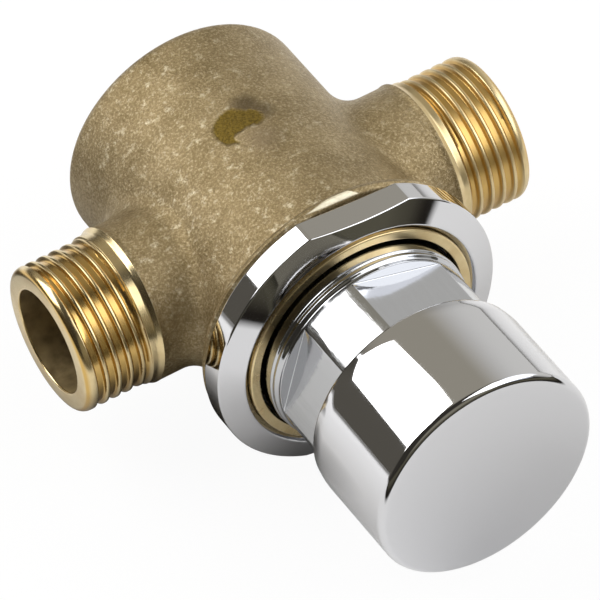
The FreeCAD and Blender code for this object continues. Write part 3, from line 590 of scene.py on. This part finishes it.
def thread_grid(side):
    """Threaded wall: rows climb one pitch per turn, radius = outside less depth times a step of the phase.

    The step goes smoothly from nothing on the crest to one at the root, and fades out at the thread's ends.
    """
    turn = side * (port_turn - port_turn[0]) / (2 * np.pi)
    first = math.floor((thread_start - turn.max() * thread_pitch) / thread_pitch) - 1
    last = math.ceil((thread_stop - turn.min() * thread_pitch) / thread_pitch) + 1
    phase = (np.arange(first, last)[:, None] + one_pitch).reshape(-1, 1)
    out = np.clip((phase + turn) * thread_pitch, thread_start, thread_stop)
    from_crest = np.minimum(phase % 1, 1 - phase % 1)
    flank = np.clip((from_crest - crest_half) / flank_long, 0, 1)
    fade = np.clip((out - thread_start) / run_out, 0, 1) * np.clip((thread_stop - out) / run_out, 0, 1)
    radius = thread_radius - thread_depth * fade * flank * flank * (3 - 2 * flank)
    return np.stack([out, radius], axis=-1)


print("thread pitch", round(thread_pitch, 3), "mm, rows per pitch", len(one_pitch))

# %% Ports
lip_radius, shoulder_radius, bore_bottom, end_fall = 11.2, 10.7, 15.5, 1.0
neck_edge, edge_slope, edge_flat, thread_step = 23.3, 0.7, 0.15, 0.1
# For each side, how far the lip swings, and the angle where it stands nearest to the barrel.
edge_wander = {1: (0.1, math.radians(100)), -1: (0.6, math.radians(95))}
port_columns = len(port_turn)
# The cast skin ends in the middle of the third rounded corner, the outer edge of the lip.
cast_rows = 1 + 2 * ROWS_OF_CORNER + ROWS_OF_CORNER // 2


def neck_profile(side):
    """Neck, cast lip and turned shoulder: the lip's place is its mean less a cosine of the port's angle."""
    swing, top = edge_wander[side]
    edge_out = neck_edge - swing * np.cos(port_turn - top)
    edge_radius = neck_radius + (lip_radius - neck_radius) * (0.5 + 0.5 * np.cos(port_turn - top))
    return turned([
        (ball_x, neck_radius), (edge_out - edge_slope, neck_radius, 0.3),
        (edge_out - edge_flat, edge_radius, 0.1), (edge_out, edge_radius, 0.1),
        (edge_out + edge_slope, shoulder_radius, 0.2),
        (thread_start - thread_step, shoulder_radius, 0.05), (thread_start, thread_radius)], port_columns)


bend = quarter_turn(7)
end_rows = np.stack([
    thread_stop + (port_end - thread_stop) * np.sin(bend),
    thread_radius - end_fall + end_fall * np.cos(bend)], axis=-1)
end_round = columns_for(end_rows, port_columns)
end_face = turned([end_rows[-1], (port_end, bore_radius, 0.25), (bore_bottom, bore_radius)], port_columns)
for side in (1, -1):
    neck = neck_profile(side)
    for profile, finish in ((neck[:cast_rows + 1], CAST), (neck[cast_rows:], CUT), (thread_grid(side), CUT),
                            (end_round, CUT), (end_face[:-1], CUT), (end_face[-2:], BORED_SHADED)):
        body_grids.append((about_port_axis(profile, port_turn, side), finish))
print("neck rows", len(neck), "of which cast", cast_rows)

# %% [markdown]
# ## The passages and chambers inside
# A partition divides the casting. A slot at the bottom of the outlet bore opens into the front chamber, and
# one at the bottom of the inlet bore opens into the rear chamber. The slot's outline is met by rays from
# its middle, so both of its ends can be joined to round walls with the same number of columns.

# %% Slot outline
slot_radius, slot_half = 2.6, 1.5


def slot_edge(angle):
    """Where a ray from the slot's middle leaves it: at a straight side, or at the round end it points to."""
    across, up = np.cos(angle), np.sin(angle)
    to_side = slot_radius / np.maximum(np.abs(across), TINY)
    lean = slot_half * np.abs(up)
    to_end = lean + np.sqrt(lean ** 2 - slot_half ** 2 + slot_radius ** 2)
    reach = np.where(np.abs(to_side * up) <= slot_half, to_side, to_end)
    return reach * across, reach * up


print("slot", 2 * slot_radius, "mm wide and", 2 * (slot_half + slot_radius), "mm high")

# %% Slots and chambers
front_slot, front_radius, front_start, front_stop = 13.0, 12.8, 8.6, 16.1
rear_slot, rear_radius, rear_start, rear_stop = 22.2, 13.5, 19.1, 36.0
slot_rows, chamber_rows = 5, 9
chambers = {
    1: (front_slot, front_radius, front_start, front_stop),
    -1: (rear_slot, rear_radius, rear_start, rear_stop),
}
half_turns = {1: full_turn[:ROUND + 1], -1: full_turn[ROUND:]}
share = np.linspace(0, 1, slot_rows)[:, None]
bore_y, bore_z = port_y + bore_radius * np.cos(port_turn), bore_radius * np.sin(port_turn)
for side, (slot_y, chamber_radius, low, high) in chambers.items():
    at_bore = np.unwrap(np.arctan2(bore_z, bore_y - slot_y))
    wall_y, wall_angle = border(low, high)
    at_wall = round_about(wall_y, wall_angle, chamber_radius, slot_y)
    across, up = slot_edge(at_bore)
    bottom_y = (1 - share) * bore_y + share * (slot_y + across)
    bottom_z = (1 - share) * bore_z + share * up
    bottom = np.stack([np.full(bottom_y.shape, side * bore_bottom), bottom_y, bottom_z], axis=-1)
    across, up = slot_edge((1 - share) * at_bore + share * at_wall)
    inner_x = np.sqrt(chamber_radius ** 2 - up ** 2)
    passage = np.stack([side * ((1 - share) * bore_bottom + share * inner_x), slot_y + across, up], axis=-1)
    across, up = slot_edge(at_wall)
    edge_angle = np.arcsin(up / chamber_radius)
    open_half = holed_wall(
        chamber_radius, slot_y + across, edge_angle, wall_y, wall_angle, side, chamber_rows)
    plain = columns_for([(chamber_radius, y) for y in np.linspace(high, low, ALONG + 1)], ROUND + 1)
    plain_half = about_button_axis(plain, half_turns[-side])
    body_grids += [(bottom, CUT), (passage, CAST), (open_half, CAST), (plain_half, CAST)]
print("slots at y", front_slot, "and", rear_slot)

# %% [markdown]
# ## Collar, rim, mouth and back
# These are plain turned walls about the button's axis, and they share their columns with the barrel halves,
# so every seam closes. The collar and the rounded back are left as cast. The threaded rim and the mouth
# were turned after casting and are bright.

# %% Turned walls of the body
rim_radius, mouth_lip, mouth_radius, bonnet_bore = 17.0, 15.58, 15.66, 14.05
lip_stop, mouth_start, mouth_floor = rim_y + 1.6, rim_y + 1.8, -1.0
collar_break, collar_round = 0.5, 1.5
seat_hole, end_ring, back_rings = 8.5, 7.0, 12
bend = quarter_turn(7)
corner_rows = np.stack([
    barrel_radius + collar_fillet * (1 - np.cos(bend)), barrel_front - collar_fillet * np.sin(bend)], axis=-1)
collar_rows = np.stack([
    collar_radius - collar_round * (1 - np.sin(bend)),
    collar_break + (collar_back - collar_break) * np.cos(bend)], axis=-1)
collar_corner = columns_for(corner_rows, columns)
collar = columns_for([corner_rows[-1], *collar_rows], columns)
collar_front = turned([
    (collar_radius, collar_break), (collar_radius - collar_break, 0, 0.2), (rim_radius, 0)], columns)
front = turned([
    (rim_radius, 0), (rim_radius, rim_y, 0.25), (mouth_lip, rim_y, 0.15), (mouth_lip, lip_stop, 0),
    (mouth_radius, mouth_start, 0), (mouth_radius, mouth_floor, 0), (bonnet_bore, mouth_floor, 0.2),
    (bonnet_bore, front_start, 0), (front_radius, front_start)], columns)
partition = columns_for([
    (front_radius, front_stop), (seat_hole, front_stop),
    (seat_hole, rear_start), (rear_radius, rear_start)], columns)
chamber_end = columns_for([(rear_radius, rear_stop), (end_ring, rear_stop), (0, rear_stop)], columns)
bend = quarter_turn(9)
back_rows = np.stack([
    barrel_radius - back_round + back_round * np.cos(bend), barrel_back + back_round * np.sin(bend)], axis=-1)
flat_rows = [(radius, back_y) for radius in np.linspace(barrel_radius - back_round, 0, back_rings)[1:]]
back = columns_for([*back_rows, *flat_rows], columns)
for profile, finish in ((collar_corner, CAST), (collar, CAST), (collar_front, CAST), (front, CUT),
                        (partition, CUT), (chamber_end, CAST), (back, CAST)):
    body_grids.append((about_button_axis(profile, full_turn), finish))
make_piece("cast_body", body_grids, [cast_brass, cut_brass, bored_brass_shaded], "valve", "valve_body")

# %% [markdown]
# ## The ring nut
# The nut is a turned ring with two flats for a spanner. Round a flat, the outside radius is the flat's
# distance over the cosine of the angle from its middle, and the front cone starts lower there, so the edge
# dips as it does on metal.

# %% Rounds with flats
FLAT_REACH = 1.4
FLATTED_COLUMNS = 241


def angles_with(corners):
    """Evenly spaced angles for one turn, with the corners of the flats added so that they stay sharp."""
    wrapped = (np.asarray(corners) + np.pi / 2) % (2 * np.pi) - np.pi / 2
    return np.sort(np.concatenate([np.linspace(-np.pi / 2, 1.5 * np.pi, FLATTED_COLUMNS), wrapped]))


def flatted(angle, middles, distance, radius):
    """Radius of a round with flats: a flat's distance over the cosine of the angle from it, or the round."""
    away = np.abs((angle[:, None] - np.asarray(middles) + np.pi) % (2 * np.pi) - np.pi).min(axis=1)
    return np.minimum(radius, distance / np.cos(np.minimum(away, FLAT_REACH)))


print("a round with flats has", FLATTED_COLUMNS, "columns and one for each corner")

# %% Ring nut
nut_radius, nut_front, nut_back = nut_high[0], nut_low[1], nut_high[1]
nut_flat, nut_bore, bore_seam = 19.9, 17.05, -2
ridge_radius, cone_long, mouth_cone, back_break = 17.8, 1.25, 0.75, 0.4
flat_middle = math.radians(85)
half_flat = math.acos(nut_flat / nut_radius)
nut_angle = angles_with([flat_middle + s * half_flat + k * np.pi for s in (-1, 1) for k in (0, 1)])
edge = flatted(nut_angle, [flat_middle, flat_middle + np.pi], nut_flat, nut_radius)
cone = nut_front + cone_long * (edge - ridge_radius) / (nut_radius - ridge_radius)
nut_profile = turned([
    (nut_bore, bore_seam), (nut_bore, nut_back, 0.1), (edge - back_break, nut_back, 0.15),
    (edge, nut_back - back_break, 0.15), (edge, cone, 0.18), (ridge_radius, nut_front, 0.15),
    (nut_bore, nut_front + mouth_cone, 0.1), (nut_bore, bore_seam)], len(nut_angle))
nut_grid = about_button_axis(nut_profile, nut_angle)
make_piece("ring_nut_plated", [(nut_grid, 0)], [chromium], "valve", "ring_nut")

# %% [markdown]
# ## The bonnet
# The bonnet's flange closes the mouth, and behind it a thread holds the bonnet in the body. In front, four
# flats are milled on its round barrel for a spanner, so each flat ends in a crescent step above the flange.
# Inside are the timing cylinder, and in front of it the stem's bore with a seat for the wiper and a groove
# for the O-ring.

# %% Bonnet
flange_radius, bonnet_front, bonnet_back = bonnet_high[0], bonnet_low[1], bonnet_high[1]
bonnet_round, bonnet_flat, screw_radius = 14.6, 12.86, 14.0
flange_back, flange_front, flange_slope, flat_start = -2.5, -6.7, -7.9, -8.4
groove_start, groove_stop, groove_deep, groove_lip = -6.9, -7.5, 0.2, 0.1
front_break, front_edge = 0.5, 14.1
cylinder_radius, cylinder_seam, cylinder_end = 10.0, -4, -16.0
wiper_radius, wiper_seat, stem_bore = 6.5, -19.6, 4.05
ring_groove_radius, ring_groove_front, ring_groove_back = 6.0, -18.8, -16.8
flat_angles = math.radians(72.6) + np.arange(4) * np.pi / 2
half_flat = math.acos(bonnet_flat / bonnet_round)
bonnet_angle = angles_with([a + s * half_flat for s in (-1, 1) for a in flat_angles])
sides = flatted(bonnet_angle, flat_angles, bonnet_flat, bonnet_round)
bonnet_outside = [
    (cylinder_radius, cylinder_seam), (cylinder_radius, bonnet_back, 0.2), (screw_radius, bonnet_back, 0.3),
    (screw_radius, flange_back, 0), (flange_radius, flange_back, 0.2), (flange_radius, flange_front, 0.15),
    (flange_radius - groove_deep, groove_start, 0.08), (flange_radius - groove_lip, groove_stop, 0.15),
    (bonnet_round, flange_slope, 0.15), (bonnet_round, flat_start, 0.1), (sides, flat_start, 0.12),
    (sides, bonnet_front + front_break, 0.2), (np.minimum(sides, front_edge), bonnet_front, 0.2)]
bonnet_inside = [
    (wiper_radius, bonnet_front, 0.15), (wiper_radius, wiper_seat, 0), (stem_bore, wiper_seat, 0),
    (stem_bore, ring_groove_front, 0), (ring_groove_radius, ring_groove_front, 0),
    (ring_groove_radius, ring_groove_back, 0), (stem_bore, ring_groove_back, 0), (stem_bore, cylinder_end, 0),
    (cylinder_radius, cylinder_end, 0), (cylinder_radius, cylinder_seam)]
bonnet_grid = about_button_axis(turned(bonnet_outside + bonnet_inside, len(bonnet_angle)), bonnet_angle)
make_piece("bonnet_plated", [(bonnet_grid, 0)], [buffed_chromium], "valve", "bonnet")

# %% [markdown]
# ## The button
# A turned cup with a flat face and a softly rounded edge, open at the back so that it slides over the
# bonnet. Its side draws in a little towards the back. The stem screws into a boss inside it. Only the
# outside is polished.

# %% Button cap
cap_radius, cap_face, cap_rim = cap_high[0], cap_low[1], cap_high[1]
face_round, face_rings, rim_break, rim_flat = 0.9, 14, 0.35, 0.3
taper_long, taper_deep, taper_blend, skirt_steps = 1.7, 0.3, 0.7, 8
skirt_inside, roof, boss_radius, boss_end = 15.0, -32.5, 6.5, -28.6
stem_hole, stem_hole_end = 4.02, -33.9
bend = quarter_turn(13)
face_rows = [(radius, cap_face) for radius in np.linspace(0, cap_radius - face_round, face_rings)[:-1]]
face_edge = np.stack([
    cap_radius - face_round * (1 - np.sin(bend)), cap_face + face_round * (1 - np.cos(bend))], axis=-1)
skirt_outside = turned([
    face_edge[-1], (cap_radius, cap_rim - taper_long, taper_blend),
    (cap_radius - taper_deep, cap_rim, rim_break), (skirt_inside + rim_flat, cap_rim)], columns, skirt_steps)
outside = np.concatenate([columns_for([*face_rows, *face_edge[:-1]], columns), skirt_outside])
inside = turned([
    (skirt_inside + rim_flat, cap_rim), (skirt_inside, cap_rim, 0.1), (skirt_inside, roof, 0.3),
    (boss_radius, roof, 0.3), (boss_radius, boss_end, 0.2), (stem_hole, boss_end, 0.2),
    (stem_hole, stem_hole_end, 0), (0, stem_hole_end)], columns)
cap_grids = [(about_button_axis(outside, full_turn), 0), (about_button_axis(inside, full_turn), 1)]
make_piece("button_plated", cap_grids, [chromium, dull_plate], "plunger", "button_cap")

# %% [markdown]
# ## The return spring
# Round steel wire carried along a helix, with both ends ground flat: points that would stand past the
# ground plane are moved onto it. The spring stays with the body.

# %% Return spring
wire_radius, coil_radius, turns = 0.6, 6.6, 5.5
spring_front, spring_back, seat_gap = -8.6, 7.2, 0.05
coil_rows, wire_columns = 330, 17
along = np.linspace(0, 1, coil_rows)[:, None]
around = np.linspace(0, 2 * np.pi, wire_columns)[None]
wind = 2 * np.pi * turns * along
swollen = coil_radius + wire_radius * np.cos(around)
coil_y = spring_front + (spring_back - spring_front) * along + wire_radius * np.sin(around)
coil_y = np.clip(coil_y, spring_front, spring_back)
coil = np.stack([swollen * np.cos(wind), coil_y, swollen * np.sin(wind)], axis=-1)
ends = [np.stack([coil[row], np.broadcast_to(coil[row].mean(axis=0), coil[row].shape)]) for row in (0, -1)]
spring = make_piece("return_spring_coil", [(coil, 0), (ends[0], 0), (ends[1], 0)], [inner["steel"]],
                    "valve", "return_spring")
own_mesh(spring)

# %% [markdown]
# ## Studio
# The valve lies on plain white paper. Chromium shows the room more than itself, so what stands round the
# valve matters as much as its finish. The paper ends a little in front of the valve, which shows as the
# dark part of the nut's cone. Three painted shadows darken the paper, one under the body, one behind on the
# left and a weaker one beside the left port, so that the underside stays in the shade. For the camera the
# paper is over-exposed, as in a catalogue picture.

# %% Floor
paper_front, paper_back = -160, -60
# Each painted shadow on the paper: its x and y, where it starts to fade and where it ends, and how dark it
# is.
painted_floor_shadows = ((-6, 27, 18, 38, 0.95), (-56, 77, 18, 38, 0.95), (-26, 11, 10, 24, 0.4))
over_exposed = 0.95
floor_finish, tree, shader, place = new_finish("studio floor, white card")
ahead = put(tree, "SeparateXYZ", {0: place}).node.outputs["Y"]
from_front = put(tree, "MapRange", {0: ahead, 1: paper_front * MM, 2: paper_back * MM})
paper = put(tree, "ValToRGB", {0: from_front}, ramp=[
    (0.0, "#5c594c"), (0.5, "#4a473d"), (0.74, "#24211d"), (0.82, "#24211d"), (0.92, "#f7f7f7")])
# Painted shadows: the paper's colour is darkened round points under and beside the valve.
for shadow_x, shadow_y, inner_edge, outer_edge, most in painted_floor_shadows:
    shaded = near_point(tree, place, (shadow_x, shadow_y, nut_low[2]), inner_edge, outer_edge, most)
    paper = put(tree, "Mix", {0: shaded, 6: paper, 7: linear("#2b2723")}, data_type="RGBA")
to_camera = put(tree, "LightPath")
white = put(tree, "Mix", {0: to_camera, 6: paper, 7: linear("#f7f7f7")}, data_type="RGBA")
matt = put(tree, "BsdfDiffuse", {"Color": white})
burnt_out = put(tree, "Emission", {"Color": (1.0, 1.0, 1.0, 1.0), "Strength": 1.0})
share = put(tree, "Math", {0: to_camera, 1: over_exposed}, operation="MULTIPLY")
surface = put(tree, "MixShader", {0: share, 1: matt, 2: burnt_out})
tree.links.new(surface, tree.nodes["Material Output"].inputs["Surface"])
half, gap = 3.0, 0.0002
floor_z = nut_low[2] * MM - gap
floor_corners = [(x * half, y * half, floor_z) for x, y in ((-1, -1), (1, -1), (1, 1), (-1, 1))]
floor_mesh = bpy.data.meshes.new("floor")
floor_mesh.from_pydata(floor_corners, [], [(0, 1, 2, 3)])
floor_mesh.materials.append(floor_finish)
floor = bpy.data.objects.new("floor", floor_mesh)
bpy.context.scene.collection.objects.link(floor)
print("floor at", floor_z, "m with", len(painted_floor_shadows), "painted floor shadows")

# %% [markdown]
# The room is dark, which gives the plate its deep tones, and pale cards stand in it. Each is a round glow
# about one way from the valve: full inside a core, nothing past a wider angle, in degrees. The camera
# itself sees plain white.

# %% World
world = bpy.data.worlds.new("studio")
bpy.context.scene.world = world
world.use_nodes = True
tree = world.node_tree
tree.nodes.clear()
ray = put(tree, "TexCoord").node.outputs["Generated"]
# Each card: its way from the valve, where its glow ends and where its core ends, in degrees, and its light.
cards = {
    "ceiling": ((0.15, 0.65, 0.75), 46, 20, (0.44, 0.41, 0.34)),
    "right": ((0.92, 0.28, 0.14), 50, 16, (0.87, 0.86, 0.83)),
    "left, behind": ((-0.79, 0.61, 0.06), 38, 16, (0.13, 0.12, 0.10)),
    "front": ((0.0, -0.97, 0.16), 36, 20, (0.30, 0.28, 0.22)),
    "high on the right": ((0.84, 0.0, 0.54), 20, 12, (2.1, 2.15, 2.25)),
    "high in front": ((0.68, -0.61, 0.41), 20, 11, (1.1, 1.15, 1.25)),
}
light = (0.045, 0.041, 0.034, 1)
for way, wide, core, colour in cards.values():
    near = put(tree, "VectorMath", {0: ray, 1: Vector(way).normalized()}, operation="DOT_PRODUCT")
    glow = put(tree, "MapRange", {0: near, 1: math.cos(math.radians(wide)), 2: math.cos(math.radians(core))},
               interpolation_type="SMOOTHSTEP")
    light = put(tree, "Mix", {0: glow, 6: light, 7: (*colour, 1)}, data_type="RGBA")
seen = put(tree, "Mix", {0: put(tree, "LightPath"), 6: light, 7: (1.0, 1.0, 1.0, 1)}, data_type="RGBA")
shine = put(tree, "Background", {"Color": seen, "Strength": 1.0})
put(tree, "OutputWorld", {"Surface": shine})
print("cards", sorted(cards))

# %% [markdown]
# Two square softboxes light the valve, one above and behind it on the left and one in front on the right. A
# very broad, weak lamp overhead stands for the light that a white room gives back, and it leaves no
# reflection.

# %% Lights
def softbox(name, way, size, far, level):
    """A square lamp of a given brightness, in the way given from the valve and turned towards it."""
    lamp = bpy.data.lights.new(name, "AREA")
    lamp.shape = "SQUARE"
    lamp.size = size
    lamp.energy = level * math.pi * size ** 2
    box = bpy.data.objects.new(name, lamp)
    way = Vector(way).normalized()
    box.location = Vector((0, port_y * MM, 0)) + way * far
    box.rotation_euler = way.to_track_quat("Z", "Y").to_euler()
    box.visible_camera = False
    bpy.context.scene.collection.objects.link(box)


softbox("softbox behind", way=(-0.503, 0.45, 0.739), size=0.44, far=0.58, level=4.8)
softbox("softbox in front", way=(0.54, -0.48, 0.64), size=0.62, far=0.7, level=2.8)
sky = bpy.data.lights.new("soft overhead", "SUN")
sky.angle = math.radians(120)
sky.energy = 0.15
overhead = bpy.data.objects.new("soft overhead", sky)
overhead.visible_glossy = False
bpy.context.scene.collection.objects.link(overhead)
print("lights", [lamp.name for lamp in bpy.data.lights])

# %% [markdown]
# ## Camera
# The photograph was taken from above and a little to the left with a long lens, slightly tilted. The eye
# stands 0.8 m from where the two axes cross, and the camera's own axes are worked out from it, the point it
# looks at and its up.

# %% Camera
crossing = Vector((0, 17.58, 0)) * MM
picture_right = Vector((0.85, -0.5229, -0.0639))
picture_up = Vector((0.4171, 0.594, 0.6879))
to_eye = Vector((-0.3218, -0.6114, 0.723))
eye_far, aim_right, aim_down = 0.8, 3.756, 9.025
eye = crossing + eye_far * to_eye
target = crossing + (aim_right * picture_right - aim_down * picture_up) * MM
look = (eye - target).normalized()
across = picture_up.cross(look).normalized()
upright = look.cross(across)
camera_data = bpy.data.cameras.new("camera")
camera_data.sensor_width = 36
camera_data.lens = 360.8
camera = bpy.data.objects.new("camera", camera_data)
camera.matrix_world = Matrix((
    (across.x, upright.x, look.x, eye.x), (across.y, upright.y, look.y, eye.y),
    (across.z, upright.z, look.z, eye.z), (0, 0, 0, 1)))
bpy.context.scene.collection.objects.link(camera)
bpy.context.scene.camera = camera
bpy.context.scene.view_settings.view_transform = "Standard"
print("camera at", tuple(eye), "with a lens of", camera_data.lens, "mm")

# %% [markdown]
# Last, the view layer is brought up to date.

bpy.context.view_layer.update()
